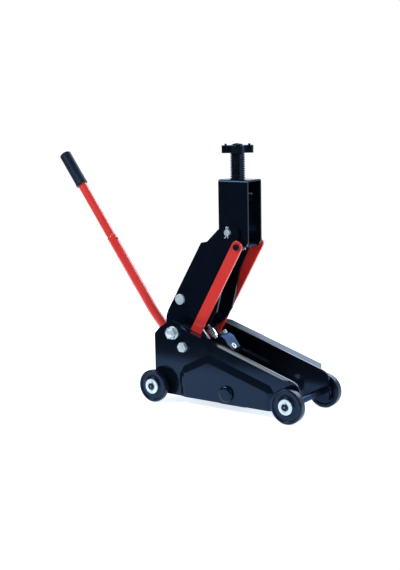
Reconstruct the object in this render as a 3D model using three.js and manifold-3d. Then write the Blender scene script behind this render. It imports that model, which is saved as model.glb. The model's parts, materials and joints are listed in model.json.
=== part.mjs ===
// Hydraulic trolley jack for high vehicles, shown raised. Millimetres, +Z up, +X towards the front wheels.
// The working frame has X = 0 at the front axle, Y = 0 on the middle plane and Z = 0 on the floor.
// The whole group is moved along X at the end, so that the origin is under the middle of its box.
import * as THREE from "three";
import { mergeVertices } from "three/addons/utils/BufferGeometryUtils.js";
import Module from "manifold-3d";

const wasm = await Module();
wasm.setup();

// ---- Driving dimensions -------------------------------------------------------------------------
const GAP = 0.3; // between faces that rest on each other
const RUN = 0.4; // radial clearance of a pin in its hole

// Frame
const PLATE_T = 4; // side plate thickness
const PLATE_OUT = 67; // outer face of a side plate, from the middle plane
const PLATE_Z = 18; // lower edge above the floor
const PLATE_FRONT = 21; // front edge, ahead of the front axle
const PLATE_REAR = -374;
const PLATE_REAR_TOP = 160;
const CREST = { x: -322, z: 195 }; // highest point of the side plate
const NOSE = { x: -3, z: 94 }; // where the sloping top edge ends
const NOSE_R = 33;
const CORNER_R = 14;
const FLANGE_W = 20;
const FLANGE_T = 3.2;
const FLANGE_LIFT = 2.4; // outer edge of the flange above its inner edge
const FLANGE_REAR = -296;
const EMBOSS_H = 5;
const EMBOSS_SLOPE = 14; // width of the raised panel's sloping sides
const EMBOSS_INSET = 4; // of the panel's crest from its outline

// Linkage: arm and link are parallel, so the head stays upright
const ARM_PIVOT = { x: -320, z: 166 };
const ARM_LENGTH = 275;
const ARM_RAISED = 60.2; // degrees above the floor in this pose
const ARM_SWING = 84; // degrees from raised to lowered
const LINK_OFFSET = { x: 30.5, z: -30 }; // link pivots from arm pivots
const HEAD_OUT = 28.4; // outer face of the head
const ARM_IN = HEAD_OUT + 0.6; // inner face of an arm plate
const ARM_T = 5;
const LINK_IN = ARM_IN + ARM_T + 8; // inner face of a link bar
const LINK_T = 5;
const LINK_W = 27.5;
const PIVOT_R = 10; // arm pivot shaft
const SLEEVE_R = PIVOT_R + 4;
const LINK_BOLT_R = 7;
const TOP_PIN_R = 7;
const LINK_PIN_R = 5.5;
const RAM_PIN_R = 8;
const RAM_PIN = { u: 64.4, v: 37.3 }; // along the arm, and square to it

// Head, screw and saddle
const HEAD_BACK = -29; // rear face from the arm top pin
const HEAD_LEN = 78.7;
const HEAD_LOW = -30.5;
const HEAD_HIGH = 118.2;
const HEAD_T = 4;
const HEAD_BEND = 7;
const SCREW_R = 17;
const SCREW_X = 5.5; // screw axis ahead of the arm top pin
const SCREW_OUT = 58.5; // screw showing above the head
const SCREW_IN = 62; // screw hidden inside the head
const SCREW_NUT_T = 15;
const SCREW_NUT_DROP = 35; // top of the nut block below the head's top
const SADDLE_SPAN = 71;
const SADDLE_LOBE_W = 27;
const SADDLE_T = 17;
const SADDLE_TURN = -54; // degrees, direction of one lobe
const SADDLE_STUD_R = 11.5; // boss of the screw, which shows in the saddle's middle
const SADDLE_STUD_OUT = 3; // boss above the saddle's plate
const STOP_AT = 26.5; // raised stops of the lobes, from the screw axis
const STOP_H = 3.5;

// Wheels
const FRONT_R = 40;
const FRONT_W = 19;
const FRONT_IN = PLATE_OUT + 4.9;
const REAR_R = 38.5;
const REAR_W = 15.2;
const REAR_IN = PLATE_OUT + 13.6;
const REAR_X = -363;
const AXLE_R = 8;
const WASHER_R = 17.5;
const WASHER_T = 2.5;

// Power unit: its axis runs from the trunnions to the ram pin
const TRUNNION = { x: -168, z: 42 };
const TRUNNION_R = 9;
const TRUNNION_HEAD_R = 18.5;
const TRUNNION_PIN = 17; // length of the bolt's pin inside the barrel
const BARREL_R = 13;
const RAM_R = 12.5;
const TUBE_R = RAM_R + 7;
const BASE_HALF = TUBE_R + 0.5;
const BEAM_HALF = PLATE_OUT - PLATE_T - 6;
const BLOCK_LOW = 76;
const BLOCK_HIGH = 127;
const BLOCK_FRONT = RAM_R + 25.5;
const GLAND_T = 8;
const TUBE_FOOT = 15; // lower end of the cylinder tube, from the trunnions
const BORE_FOOT = 18;
const RAM_REST = 3.3; // ram above the foot of its bore when the arm is down
const SPRING_R = 2.5;
const SPRING_Y = ARM_IN - SPRING_R - 0.5;
const ANCHOR = 21; // top of a spring's foot stud, from the trunnions

// Pump, release valve and handle
const SOCKET = { x: -344, z: 107 };
const SOCKET_SHAFT_R = 7;
const CRANK = 36;
const NOSE_PAD_R = 8;
const PLUNGER_R = 7;
const PUMP_REAR = -298; // rear face of the pump barrel
const EAR_IN = BASE_HALF + 2.4; // ears of the base, which carry the handle socket
const EAR_OUT = EAR_IN + 6;
const EAR_R = 12;
const SOCKET_ANGLE = 133; // degrees from +X
const SOCKET_LENGTH = 66;
const SOCKET_WALL = 3.1;
const HANDLE_FOOT = 17; // lower end of the handle, from the socket shaft
const HANDLE_ANGLE = 126;
const LOWER_TUBE_R = 12.2;
const UPPER_TUBE_R = LOWER_TUBE_R - 1.2;
const HANDLE_WALL = 1.6;
const BEND_AT = 122.5; // from the socket shaft to the corner of the bend
const BEND_TANGENT = 20;
const JOINT_AT = 215; // from that corner to the joint of the two tubes
const NECK = 45; // of the upper tube, inside the lower one
const BUTTON_DROP = 12; // snap button below the joint
const BUTTON_R = 3;
const GRIP_FROM = 370;
const HANDLE_TOP = 465;
const GRIP_R = 15;

// ---- Materials ----------------------------------------------------------------------------------
const paint = (name, color, roughness, metalness) => {
  const material = new THREE.MeshStandardMaterial({ color, roughness, metalness });
  material.name = name;
  return material;
};
const BLACK = paint("black_paint", 0x0b0e14, 0.22, 0.1);
const RED = paint("red_paint", 0xd8231d, 0.3, 0.1);
const ZINC = paint("zinc", 0xdde2e8, 0.3, 0.9);
const CHROME = paint("chrome", 0xe8ecef, 0.08, 1.0);
const CAST = paint("grey_cast", 0x8f979e, 0.5, 0.6);
const DARK = paint("black_steel", 0x17191d, 0.4, 0.7);
const RUBBER = paint("grip_rubber", 0x101114, 0.8, 0.0);
const WHEEL = paint("wheel_black", 0x14161b, 0.35, 0.1);

// ---- Building tools -----------------------------------------------------------------------------
const rad = THREE.MathUtils.degToRad;
const SIDES = [
  { name: "right", s: -1 },
  { name: "left", s: 1 },
];

// A closed geometry as a manifold solid.
function solid(geometry) {
  const bare = geometry.clone();
  bare.deleteAttribute("normal");
  bare.deleteAttribute("uv");
  const merged = mergeVertices(bare, 1e-4);
  return new wasm.Manifold(
    new wasm.Mesh({
      numProp: 3,
      vertProperties: new Float32Array(merged.attributes.position.array),
      triVerts: new Uint32Array(merged.index.array),
    }),
  );
}

function geometryOf(body) {
  const mesh = body.getMesh();
  const geometry = new THREE.BufferGeometry();
  geometry.setAttribute("position", new THREE.BufferAttribute(mesh.vertProperties, 3));
  geometry.setIndex(new THREE.BufferAttribute(mesh.triVerts, 1));
  geometry.computeVertexNormals();
  return geometry;
}

// Named mesh in a group, from a geometry or from a solid.
function piece(group, name, shape, material) {
  const geometry = shape.isBufferGeometry ? shape : geometryOf(shape);
  const mesh = new THREE.Mesh(geometry, material);
  mesh.name = name;
  group.add(mesh);
  return mesh;
}

// Outline in the X-Z plane, extruded from y0 to y1.
function slab(shape, y0, y1, curveSegments = 4) {
  const depth = y1 - y0;
  const geometry = new THREE.ExtrudeGeometry(shape, { depth, bevelEnabled: false, curveSegments });
  return geometry.rotateX(Math.PI / 2).translate(0, y1, 0);
}

function polygon(points) {
  return new THREE.Shape(points.map(([x, z]) => new THREE.Vector2(x, z)));
}

// Outline with each corner rounded to the radius given with it.
function rounded(corners) {
  const shape = new THREE.Shape();
  const count = corners.length;
  corners.forEach(([x, z, r], i) => {
    const here = new THREE.Vector2(x, z);
    const [px, pz] = corners[(i + count - 1) % count];
    const [nx, nz] = corners[(i + 1) % count];
    const back = new THREE.Vector2(px, pz).sub(here).normalize();
    const on = new THREE.Vector2(nx, nz).sub(here).normalize();
    const reach = r ? r / Math.tan(Math.acos(THREE.MathUtils.clamp(back.dot(on), -1, 1)) / 2) : 0;
    const from = here.clone().addScaledVector(back, reach);
    const to = here.clone().addScaledVector(on, reach);
    if (i === 0) shape.moveTo(from.x, from.y);
    else shape.lineTo(from.x, from.y);
    if (r) shape.quadraticCurveTo(here.x, here.y, to.x, to.y);
  });
  shape.closePath();
  return shape;
}

// Cylinder along Y.
function barY(r, x, z, y0, y1, segments = 20) {
  return new THREE.CylinderGeometry(r, r, y1 - y0, segments).translate(x, (y0 + y1) / 2, z);
}

// Cylinder along X.
function barX(r, y, z, x0, x1, segments = 20) {
  const geometry = new THREE.CylinderGeometry(r, r, x1 - x0, segments);
  return geometry.rotateZ(Math.PI / 2).translate((x0 + x1) / 2, y, z);
}

// Cylinder along Z.
function barZ(r, x, y, z0, z1, segments = 20) {
  const geometry = new THREE.CylinderGeometry(r, r, z1 - z0, segments);
  return geometry.rotateX(Math.PI / 2).translate(x, y, (z0 + z1) / 2);
}

function box(x0, x1, y0, y1, z0, z1) {
  const geometry = new THREE.BoxGeometry(x1 - x0, y1 - y0, z1 - z0);
  return geometry.translate((x0 + x1) / 2, (y0 + y1) / 2, (z0 + z1) / 2);
}

// Body of revolution about Y from a profile of [radius, y]; it runs anticlockwise in the r-y plane.
function turnedY(profile, x, z, segments = 32) {
  const points = profile.map(([r, y]) => new THREE.Vector2(r, y));
  return new THREE.LatheGeometry(points, segments).translate(x, 0, z);
}

// The same distances on either side of the middle plane.
const span = (s, near, far) => (s < 0 ? [-far, -near] : [near, far]);

// ---- Where things are ---------------------------------------------------------------------------
const jack = new THREE.Group();
const raised = rad(ARM_RAISED);
const armTop = {
  x: ARM_PIVOT.x + ARM_LENGTH * Math.cos(raised),
  z: ARM_PIVOT.z + ARM_LENGTH * Math.sin(raised),
};
const linkFoot = { x: ARM_PIVOT.x + LINK_OFFSET.x, z: ARM_PIVOT.z + LINK_OFFSET.z };
const linkTop = { x: armTop.x + LINK_OFFSET.x, z: armTop.z + LINK_OFFSET.z };
const plateIn = PLATE_OUT - PLATE_T;
const topSlope = (NOSE.z - CREST.z) / (NOSE.x - CREST.x);
const topEdge = (x) => NOSE.z + (x - NOSE.x) * topSlope;

// Ram pin when the arm has turned down by an angle, and the line to it from the trunnions.
function ramLine(angle) {
  const turn = raised - angle;
  const x = ARM_PIVOT.x + RAM_PIN.u * Math.cos(turn) - RAM_PIN.v * Math.sin(turn);
  const z = ARM_PIVOT.z + RAM_PIN.u * Math.sin(turn) + RAM_PIN.v * Math.cos(turn);
  const dx = x - TRUNNION.x;
  const dz = z - TRUNNION.z;
  return { length: Math.hypot(dx, dz), direction: Math.atan2(dz, dx) };
}
const ramUp = ramLine(0);
const ramDown = ramLine(rad(ARM_SWING));

// ---- Frame --------------------------------------------------------------------------------------
function plateOutline() {
  return rounded([
    [PLATE_FRONT, PLATE_Z, CORNER_R],
    [PLATE_FRONT, 85, NOSE_R * 0.75],
    [NOSE.x + 4, topEdge(NOSE.x + 4), 12],
    [CREST.x, CREST.z, 5],
    [CREST.x - 12, CREST.z - 4, 5],
    [-358, 176, 6],
    [PLATE_REAR, PLATE_REAR_TOP, 10],
    [PLATE_REAR, PLATE_Z, CORNER_R],
  ]);
}

// Raised panel of the side plate, wider by its sloping sides at its foot.
function embossBlock(grow, height) {
  const shape = polygon([
    [-288 - grow, PLATE_Z - 20],
    [-293 - grow, 66],
    [-284 - grow, 82 + grow / 2],
    [-221 - grow / 2, 115 + grow],
    [-61 + grow / 2, 67 + grow],
    [-54 + grow, 56],
    [-54 + grow, PLATE_Z - 20],
  ]);
  const raise = new THREE.ExtrudeGeometry(shape, {
    depth: 0.01,
    bevelEnabled: true,
    bevelThickness: height,
    bevelSize: EMBOSS_SLOPE,
    bevelSegments: 1,
  });
  return raise.rotateX(Math.PI / 2);
}

function sidePlate({ name, s }) {
  const [low, high] = span(s, plateIn, PLATE_OUT);
  let body = solid(slab(plateOutline(), low, high));
  const above = solid(box(-400, 50, ...span(s, PLATE_OUT, PLATE_OUT + EMBOSS_H), PLATE_Z, 200));
  const raise = solid(embossBlock(-EMBOSS_INSET, EMBOSS_H).translate(0, s * PLATE_OUT, 0)).intersect(above);
  const inside = solid(box(-400, 50, ...span(s, plateIn - 1, plateIn + EMBOSS_H), PLATE_Z - 1, 200));
  const dish = solid(embossBlock(-EMBOSS_INSET - PLATE_T / 2, EMBOSS_H).translate(0, s * plateIn, 0)).intersect(inside);
  body = body.add(raise).subtract(dish);

  // Flange along the sloping edge: a bent strip with its outer front corner cut away.
  const strip = new THREE.Shape();
  const bend = PLATE_T + FLANGE_T;
  strip.moveTo(0, -bend);
  strip.lineTo(PLATE_T, -bend);
  strip.quadraticCurveTo(PLATE_T, -FLANGE_T, bend, -FLANGE_T);
  strip.lineTo(FLANGE_W + PLATE_T, FLANGE_LIFT - FLANGE_T);
  strip.lineTo(FLANGE_W + PLATE_T, FLANGE_LIFT);
  strip.lineTo(bend, 0);
  strip.quadraticCurveTo(0, 0, 0, -bend);
  const long = (NOSE.x - FLANGE_REAR) / Math.cos(Math.atan(topSlope));
  const flange = new THREE.ExtrudeGeometry(strip, { depth: long, bevelEnabled: false, curveSegments: 4 });
  // The strip's x points outwards on the left side and is turned over for the right.
  flange.rotateX(Math.PI / 2).rotateZ(Math.PI / 2);
  flange.rotateY(-Math.atan(topSlope)).translate(FLANGE_REAR, plateIn, topEdge(FLANGE_REAR));
  let bent = solid(flange);
  if (s < 0) bent = bent.mirror([0, 1, 0]);
  const nip = new THREE.Shape();
  const tip = PLATE_OUT + FLANGE_W + 1;
  nip.moveTo(NOSE.x - 9, s * tip);
  nip.lineTo(NOSE.x + 9, s * tip);
  nip.lineTo(NOSE.x + 9, s * (PLATE_OUT + 5));
  nip.lineTo(NOSE.x, s * (PLATE_OUT + 5));
  nip.closePath();
  const rearNip = new THREE.Shape();
  rearNip.moveTo(FLANGE_REAR - 1, s * tip);
  rearNip.lineTo(FLANGE_REAR + 40, s * tip);
  rearNip.lineTo(FLANGE_REAR - 1, s * (PLATE_OUT + 0.5));
  rearNip.closePath();
  for (const cut of [nip, rearNip]) {
    bent = bent.subtract(solid(new THREE.ExtrudeGeometry(cut, { depth: 250, bevelEnabled: false })));
  }
  body = body.add(bent);

  const holes = [
    [ARM_PIVOT, PIVOT_R],
    [linkFoot, LINK_BOLT_R],
    [TRUNNION, TRUNNION_R],
    [{ x: 0, z: FRONT_R }, AXLE_R],
    [{ x: REAR_X, z: REAR_R }, AXLE_R],
  ];
  for (const [at, r] of holes) {
    body = body.subtract(solid(barY(r + GAP, at.x, at.z, ...span(s, plateIn - 8, PLATE_OUT + 12))));
  }
  piece(jack, "side_plate_" + name, body, BLACK);
}

function axle(name, x, z, inner, width) {
  const end = inner + width + WASHER_T + 4;
  piece(jack, name, barY(AXLE_R, x, z, -end, end), DARK);
}

function wheel(name, s, x, r, inner, width) {
  const outer = inner + width;
  const bore = AXLE_R + RUN;
  const edge = 3;
  const dish = 3;
  // Rim, dished web and hub on both faces.
  const profile = [
    [bore, inner],
    [WASHER_R + 1, inner],
    [WASHER_R + 3, inner + dish],
    [r - 10, inner + dish],
    [r - 8, inner],
    [r - edge, inner],
    [r, inner + edge],
    [r, outer - edge],
    [r - edge, outer],
    [r - 6, outer],
    [r - 8, outer - dish],
    [WASHER_R + 4, outer - dish],
    [WASHER_R + 2, outer],
    [bore, outer],
    [bore, inner],
  ];
  const turned = turnedY(profile, x, r, 28);
  const shape = s < 0 ? solid(turned).mirror([0, 1, 0]) : turned;
  piece(jack, name, shape, WHEEL);
}

function washer(name, s, x, z, outer) {
  const from = outer + GAP;
  const ring = solid(barY(WASHER_R, x, z, ...span(s, from, from + WASHER_T), 28));
  const hole = solid(barY(AXLE_R + GAP, x, z, ...span(s, from - 1, from + WASHER_T + 1), 16));
  piece(jack, name, ring.subtract(hole), ZINC);
}

// Hexagon along Y, measured across its flats.
function hexY(flats, x, z, y0, y1) {
  return barY(flats / Math.sqrt(3), x, z, y0, y1, 6);
}

function frame() {
  SIDES.forEach(sidePlate);
  axle("front_axle", 0, FRONT_R, FRONT_IN, FRONT_W);
  axle("rear_axle", REAR_X, REAR_R, REAR_IN, REAR_W);
  for (const { name, s } of SIDES) {
    wheel("front_wheel_" + name, s, 0, FRONT_R, FRONT_IN, FRONT_W);
    wheel("rear_wheel_" + name, s, REAR_X, REAR_R, REAR_IN, REAR_W);
    washer("front_washer_" + name, s, 0, FRONT_R, FRONT_IN + FRONT_W);
    washer("rear_washer_" + name, s, REAR_X, REAR_R, REAR_IN + REAR_W);
  }
}

function pivots() {
  const nutIn = PLATE_OUT + GAP;
  const shaftEnd = nutIn + 15;
  piece(jack, "arm_pivot_shaft", barY(PIVOT_R, ARM_PIVOT.x, ARM_PIVOT.z, -shaftEnd, shaftEnd), ZINC);
  for (const { name, s } of SIDES) {
    // Flanged nut on the arm pivot shaft.
    const { x, z } = ARM_PIVOT;
    const flange = solid(barY(PIVOT_R + 5.5, x, z, ...span(s, nutIn, nutIn + 3), 32));
    const hex = solid(hexY(2 * PIVOT_R + 5, x, z, ...span(s, nutIn + 2, nutIn + 13)));
    const bore = solid(barY(PIVOT_R + GAP, x, z, ...span(s, nutIn - 1, nutIn + 20)));
    piece(jack, "arm_pivot_nut_" + name, flange.add(hex).subtract(bore), ZINC);

    // Shoulder bolt of the link: low head inside the link, hexagon nut outside the plate.
    const headR = LINK_BOLT_R + 5;
    const head = solid(barY(headR, linkFoot.x, linkFoot.z, ...span(s, LINK_IN - GAP - 3, LINK_IN - GAP)));
    const shank = solid(barY(LINK_BOLT_R, linkFoot.x, linkFoot.z, ...span(s, LINK_IN - 1, nutIn + 11.5)));
    piece(jack, "link_pivot_bolt_" + name, head.add(shank), ZINC);
    const nut = solid(hexY(3 * LINK_BOLT_R, linkFoot.x, linkFoot.z, ...span(s, nutIn, nutIn + 10)));
    const boreR = LINK_BOLT_R + GAP;
    const nutBore = solid(barY(boreR, linkFoot.x, linkFoot.z, ...span(s, nutIn - 1, nutIn + 20)));
    piece(jack, "link_pivot_nut_" + name, nut.subtract(nutBore), ZINC);
    const from = LINK_IN + LINK_T + GAP;
    const sleeve = solid(barY(headR, linkFoot.x, linkFoot.z, ...span(s, from, plateIn - GAP)));
    const sleeveBore = solid(barY(boreR, linkFoot.x, linkFoot.z, ...span(s, from - 1, plateIn + 1)));
    piece(jack, "link_spacer_" + name, sleeve.subtract(sleeveBore), ZINC);

    // Trunnion bolt, on which the power unit tilts. Its low domed head stands on the raised panel.
    const out = PLATE_OUT + EMBOSS_H + GAP;
    const dome = [
      [0, out],
      [TRUNNION_HEAD_R, out],
      [TRUNNION_HEAD_R, out + 4],
      [TRUNNION_HEAD_R - 2.5, out + 6.5],
      [TRUNNION_HEAD_R - 8, out + 7.5],
      [0, out + 7.5],
    ];
    let cap = solid(turnedY(dome, TRUNNION.x, TRUNNION.z, 24));
    if (s < 0) cap = cap.mirror([0, 1, 0]);
    const pinFrom = BEAM_HALF - TRUNNION_PIN;
    const pin = solid(barY(TRUNNION_R, TRUNNION.x, TRUNNION.z, ...span(s, pinFrom, out + 1)));
    piece(jack, "trunnion_bolt_" + name, cap.add(pin), BLACK);
  }
}

// ---- Lifting arm: built along +X with its pivot at the origin, then turned up -------------------
function liftArm() {
  const arm = new THREE.Group();
  arm.position.set(ARM_PIVOT.x, 0, ARM_PIVOT.z);
  arm.rotation.y = -raised;
  jack.add(arm);
  const outline = rounded([
    [-26, -16, 14],
    [58, -58, 6],
    [95, -62, 8],
    [140, -50, 20],
    [185, -36, 20],
    [ARM_LENGTH + 5.6, -29.4, 4],
    [ARM_LENGTH + 21.4, -20.5, 4],
    [ARM_LENGTH + 19.2, 1.4, 5],
    [ARM_LENGTH - 9, 26.6, 6],
    [ARM_LENGTH - 50, 39.1, 5],
    [ARM_LENGTH - 61, 52, 5],
    [20, 55.3, 8],
    [6.4, 53.2, 6],
    [-9.4, 46.5, 6],
    [-29, 18, 12],
  ]);
  const holes = [
    [0, 0, SLEEVE_R + GAP],
    [ARM_LENGTH, 0, TOP_PIN_R + GAP],
    [RAM_PIN.u, RAM_PIN.v, RAM_PIN_R + GAP],
  ];
  for (const { name, s } of SIDES) {
    let plate = solid(slab(outline, ...span(s, ARM_IN, ARM_IN + ARM_T)));
    for (const [u, v, r] of holes) {
      plate = plate.subtract(solid(barY(r, u, v, ...span(s, ARM_IN - 1, ARM_IN + ARM_T + 1))));
    }
    piece(arm, "arm_plate_" + name, plate, BLACK);
  }
  // Sleeve on which the arm turns.
  const sleeve = solid(barY(SLEEVE_R, 0, 0, -ARM_IN - ARM_T, ARM_IN + ARM_T));
  const bore = solid(barY(PIVOT_R + RUN, 0, 0, -50, 50));
  piece(arm, "arm_pivot_sleeve", sleeve.subtract(bore), DARK);
  const web = rounded([
    [ARM_LENGTH - 110, 46, 1],
    [ARM_LENGTH - 70, 46, 1],
    [ARM_LENGTH - 70, 50, 1],
    [ARM_LENGTH - 110, 50, 1],
  ]);
  piece(arm, "arm_web", slab(web, -ARM_IN + GAP, ARM_IN - GAP, 3), BLACK);

  // Ram pin with a flat head at each end.
  const out = ARM_IN + ARM_T + GAP;
  let ramPin = solid(barY(RAM_PIN_R, RAM_PIN.u, RAM_PIN.v, -out - 2, out + 2));
  for (const { s } of SIDES) {
    ramPin = ramPin.add(solid(barY(12.3, RAM_PIN.u, RAM_PIN.v, ...span(s, out, out + 5.5))));
  }
  piece(arm, "ram_pin", ramPin, ZINC);

  // Top pin with a cross hole for a split pin near each end.
  const end = out + 6.5;
  let topPin = solid(barY(TOP_PIN_R, ARM_LENGTH, 0, -end, end));
  const upright = new THREE.Matrix4().makeRotationY(raised);
  const split = 1.7;
  const splitAt = out + 3.6;
  for (const { name, s } of SIDES) {
    const place = new THREE.Matrix4().makeTranslation(ARM_LENGTH, s * splitAt, 0).multiply(upright);
    const hole = barZ(split + GAP, 0, 0, -20, 20, 10).applyMatrix4(place);
    topPin = topPin.subtract(solid(hole));
    // Split pin: stem through the hole, ring above, two legs bent apart below.
    const ring = new THREE.TorusGeometry(3.4, split, 6, 10).rotateX(Math.PI / 2).translate(0, 0, 11.5);
    const stem = barZ(split, 0, 0, -9.5, 8.6, 8);
    const leg = (lean) => {
      const bar = new THREE.CylinderGeometry(split * 0.8, split * 0.8, 7, 6).rotateX(Math.PI / 2);
      return bar.translate(0, 0, -3).rotateY(lean).translate(0, 0, -8.8);
    };
    const pin = [ring, leg(0.9), leg(0.25)].reduce((all, part) => all.add(solid(part)), solid(stem));
    const turned = geometryOf(pin).applyMatrix4(place);
    piece(arm, "arm_split_pin_" + name, turned, ZINC);
  }
  piece(arm, "arm_top_pin", topPin, ZINC);
}

// ---- Parallel links -----------------------------------------------------------------------------
function links() {
  const bars = new THREE.Group();
  bars.position.set(linkFoot.x, 0, linkFoot.z);
  bars.rotation.y = -raised;
  jack.add(bars);
  const half = LINK_W / 2;
  const outline = new THREE.Shape();
  outline.absarc(0, 0, half, Math.PI / 2, (3 * Math.PI) / 2, false);
  outline.absarc(ARM_LENGTH, 0, half, -Math.PI / 2, Math.PI / 2, false);
  outline.closePath();
  for (const { name, s } of SIDES) {
    const y = span(s, LINK_IN, LINK_IN + LINK_T);
    let bar = solid(slab(outline, ...y, 10));
    bar = bar.subtract(solid(barY(LINK_BOLT_R + RUN, 0, 0, y[0] - 1, y[1] + 1)));
    bar = bar.subtract(solid(barY(LINK_PIN_R + RUN, ARM_LENGTH, 0, y[0] - 1, y[1] + 1)));
    piece(bars, "link_" + name, bar, RED);
  }
}

// ---- Head, screw and saddle ---------------------------------------------------------------------
function head() {
  const top = new THREE.Group();
  top.position.set(armTop.x, 0, armTop.z);
  jack.add(top);
  const front = HEAD_BACK + HEAD_LEN;
  const inner = HEAD_OUT - HEAD_T;

  // Folded channel, open below, in front and behind: drawn in the Y-Z plane and run along X.
  const fold = new THREE.Shape();
  fold.moveTo(-HEAD_OUT, HEAD_LOW);
  fold.lineTo(-inner, HEAD_LOW);
  fold.lineTo(-inner, HEAD_HIGH - HEAD_BEND);
  fold.quadraticCurveTo(-inner, HEAD_HIGH - HEAD_T, -inner + 3, HEAD_HIGH - HEAD_T);
  fold.lineTo(inner - 3, HEAD_HIGH - HEAD_T);
  fold.quadraticCurveTo(inner, HEAD_HIGH - HEAD_T, inner, HEAD_HIGH - HEAD_BEND);
  fold.lineTo(inner, HEAD_LOW);
  fold.lineTo(HEAD_OUT, HEAD_LOW);
  fold.lineTo(HEAD_OUT, HEAD_HIGH - HEAD_BEND);
  fold.quadraticCurveTo(HEAD_OUT, HEAD_HIGH, HEAD_OUT - HEAD_BEND, HEAD_HIGH);
  fold.lineTo(-HEAD_OUT + HEAD_BEND, HEAD_HIGH);
  fold.quadraticCurveTo(-HEAD_OUT, HEAD_HIGH, -HEAD_OUT, HEAD_HIGH - HEAD_BEND);
  const channel = new THREE.ExtrudeGeometry(fold, {
    depth: HEAD_LEN,
    bevelEnabled: false,
    curveSegments: 5,
  });
  channel.rotateX(Math.PI / 2).rotateZ(Math.PI / 2).translate(HEAD_BACK, 0, 0);
  let bracket = solid(channel);
  bracket = bracket.subtract(solid(barY(TOP_PIN_R + RUN, 0, 0, -40, 40)));
  bracket = bracket.subtract(solid(barY(LINK_PIN_R + GAP, LINK_OFFSET.x, LINK_OFFSET.z, -40, 40)));
  bracket = bracket.subtract(solid(barZ(SCREW_R + 1, SCREW_X, 0, 100, 130, 32)));
  // The lower corner beside the link pin is rounded off.
  const corner = box(front - 13, front + 1, -40, 40, HEAD_LOW - 1, HEAD_LOW + 12);
  const keep = barY(13, front - 13, HEAD_LOW + 12, -40, 40, 32);
  bracket = bracket.subtract(solid(corner).subtract(solid(keep)));
  piece(top, "head_bracket", bracket, BLACK);

  const nutTop = HEAD_HIGH - SCREW_NUT_DROP;
  const half = inner - GAP;
  const nut = solid(box(SCREW_X - half, SCREW_X + half, -half, half, nutTop - SCREW_NUT_T, nutTop));
  const thread = solid(barZ(SCREW_R + RUN, SCREW_X, 0, nutTop - SCREW_NUT_T - 1, nutTop + 1, 32));
  piece(top, "screw_nut_block", nut.subtract(thread), BLACK);

  // Link pin right across the head and both links, with a round head outside each link.
  const out = LINK_IN + LINK_T + GAP;
  let linkPin = solid(barY(LINK_PIN_R, LINK_OFFSET.x, LINK_OFFSET.z, -out - 2, out + 2, 20));
  for (const { s } of SIDES) {
    linkPin = linkPin.add(solid(barY(7.6, LINK_OFFSET.x, LINK_OFFSET.z, ...span(s, out, out + 3.5))));
  }
  const crossHole = barZ(1.5 + GAP, LINK_OFFSET.x, -12, LINK_OFFSET.z - 20, LINK_OFFSET.z + 20, 10);
  linkPin = linkPin.subtract(solid(crossHole));
  piece(top, "link_pin", linkPin, DARK);
  const stem = solid(barZ(1.5, 0, 0, -8, 7.5, 8));
  const leg = (lean) => {
    const bar = new THREE.CylinderGeometry(1.2, 1.2, 9, 6).rotateX(Math.PI / 2);
    return solid(bar.translate(0, 0, -4).rotateY(lean).translate(0, 0, -7.4));
  };
  const eye = solid(new THREE.TorusGeometry(2.8, 1.3, 6, 10).rotateX(Math.PI / 2).translate(0, 0, 10));
  const split = stem.add(leg(0.75)).add(leg(0.1)).add(eye).translate([LINK_OFFSET.x, -12, LINK_OFFSET.z]);
  piece(top, "link_split_pin", split, ZINC);

  // Lifting screw: a plain rod here, of the thread's outer diameter.
  const screwTop = HEAD_HIGH + SCREW_OUT;
  const rod = [
    [0, HEAD_HIGH - SCREW_IN],
    [SCREW_R - 2, HEAD_HIGH - SCREW_IN],
    [SCREW_R, HEAD_HIGH - SCREW_IN + 2],
    [SCREW_R, screwTop],
    [0, screwTop],
  ];
  const screw = turnedY(rod, 0, 0, 32).rotateX(Math.PI / 2).translate(SCREW_X, 0, 0);
  const studTop = screwTop + GAP + SADDLE_T + SADDLE_STUD_OUT;
  const stud = solid(barZ(SADDLE_STUD_R, SCREW_X, 0, screwTop - 1, studTop, 28));
  piece(top, "lifting_screw", solid(screw).add(stud), DARK);

  saddle(top, screwTop + GAP);
}

// Four-lobed saddle with a raised stop on each lobe. The boss of the screw passes through it.
function saddle(group, z) {
  const holder = new THREE.Group();
  holder.position.set(SCREW_X, 0, z);
  holder.rotation.z = rad(SADDLE_TURN);
  group.add(holder);
  const reach = SADDLE_SPAN / 2;
  const half = SADDLE_LOBE_W / 2;
  const notch = 4;
  const cross = [];
  for (let i = 0; i < 4; i++) {
    const turn = (i * Math.PI) / 2;
    const corners = [
      [half + notch, -half, 0],
      [reach - 4, -half, 0],
      [reach, -half + 5, 0],
      [reach, half - 5, 0],
      [reach - 4, half, 0],
      [half + notch, half, 0],
      [half + notch / 3, half + notch / 3, 0],
    ];
    for (const [x, y] of corners) {
      cross.push([x * Math.cos(turn) - y * Math.sin(turn), x * Math.sin(turn) + y * Math.cos(turn)]);
    }
  }
  const height = SADDLE_T;
  const plate = new THREE.ExtrudeGeometry(polygon(cross), { depth: height, bevelEnabled: false });
  let body = solid(plate);
  for (let i = 0; i < 4; i++) {
    const stop = box(STOP_AT - 2.5, STOP_AT + 2.5, -5, 5, height - 1, height + STOP_H);
    body = body.add(solid(stop.rotateZ((i * Math.PI) / 2)));
  }
  body = body.subtract(solid(barZ(SADDLE_STUD_R + RUN, 0, 0, -1, height + 1, 28)));
  piece(holder, "saddle", body, DARK);
}

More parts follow.
